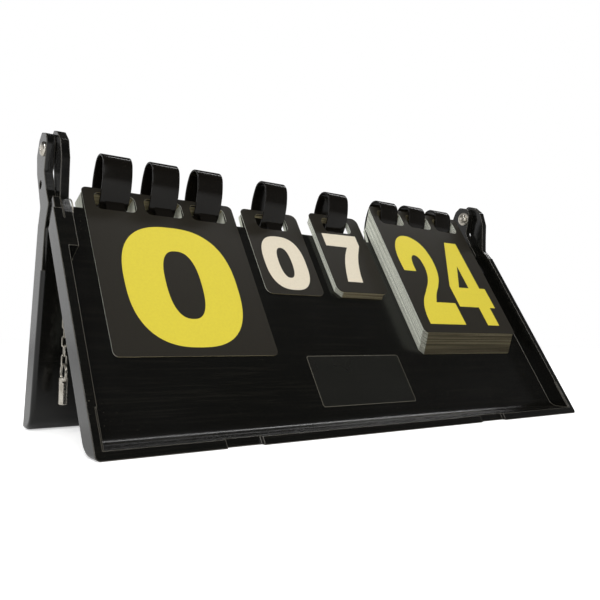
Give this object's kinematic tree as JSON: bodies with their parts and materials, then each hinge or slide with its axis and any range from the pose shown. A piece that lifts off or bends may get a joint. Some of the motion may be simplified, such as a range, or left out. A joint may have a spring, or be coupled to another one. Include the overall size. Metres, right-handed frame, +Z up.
{
  "type": "tabletop flip scoreboard",
  "caption": "Tent-shaped tabletop flip scoreboard: two hinged black trays, number cards on plastic loops, and a lock pin on a chain.",
  "frame": {"origin": "centre of the footprint on the table, between the two feet", "axes": "+X along the hinge to the viewer's right, +Y from the numbered side to the back, +Z up"},
  "size_m": [0.394, 0.1322, 0.1814],
  "materials": {
    "tray_plastic": "glossy black moulding",
    "ring_plastic": "glossy black band",
    "card_plastic": "satin printed sheet, dark brown-black",
    "steel": "plated steel"
  },
  "bodies": {
    "front": {"chain_anchor_ring": "steel", "front_tray": "tray_plastic", "left_hinge_nut": "steel", "left_hinge_screw": "steel", "left_hinge_washer": "steel", "left_large_inner_ring": "ring_plastic", "left_large_middle_ring": "ring_plastic", "left_large_outer_ring": "ring_plastic", "left_large_rear_cards": "card_plastic", "left_small_rear_cards": "card_plastic", "left_small_ring": "ring_plastic", "right_hinge_nut": "steel", "right_hinge_screw": "steel", "right_hinge_washer": "steel", "right_large_front_cards": "card_plastic", "right_large_inner_ring": "ring_plastic", "right_large_middle_ring": "ring_plastic", "right_large_outer_ring": "ring_plastic", "right_large_rear_cards": "card_plastic", "right_small_front_cards": "card_plastic", "right_small_ring": "ring_plastic"},
    "back": {"back_tray": "tray_plastic"},
    "chain": {"chain_links": "steel", "split_ring": "steel", "lock_pin": "steel"},
    "left_large_zero": {"left_large_zero_card": "card_plastic"},
    "left_small_zero": {"left_small_zero_card": "card_plastic"},
    "right_small_seven": {"right_small_seven_card": "card_plastic"},
    "right_large_top": {"right_large_top_card": "card_plastic"}
  },
  "joints": [
    {"name": "case_fold", "type": "hinge", "parent": "front", "child": "back", "pos_m": [0, 0.03858, 0.16958], "axis": [1, 0, 0], "range_deg": [0, 318.5]},
    {"name": "left_large_zero_flip", "type": "hinge", "parent": "front", "child": "left_large_zero", "pos_m": [-0.1175, 0.04423, 0.15493], "axis": [-1, 0, 0], "range_deg": [0, 280]},
    {"name": "left_small_zero_flip", "type": "hinge", "parent": "front", "child": "left_small_zero", "pos_m": [-0.0318, 0.04423, 0.15493], "axis": [-1, 0, 0], "range_deg": [0, 318]},
    {"name": "right_small_seven_flip", "type": "hinge", "parent": "front", "child": "right_small_seven", "pos_m": [0.0281, 0.04423, 0.15493], "axis": [-1, 0, 0], "range_deg": [0, 300]},
    {"name": "right_large_top_flip", "type": "hinge", "parent": "front", "child": "right_large_top", "pos_m": [0.1175, 0.04158, 0.1654], "axis": [-1, 0, 0], "range_deg": [0, 170]},
    {"name": "chain_swing", "type": "hinge", "parent": "front", "child": "chain", "pos_m": [-0.182, 0.02947, 0.1224], "axis": [1, 0, 0], "range_deg": [-20, 1.5]}
  ]
}
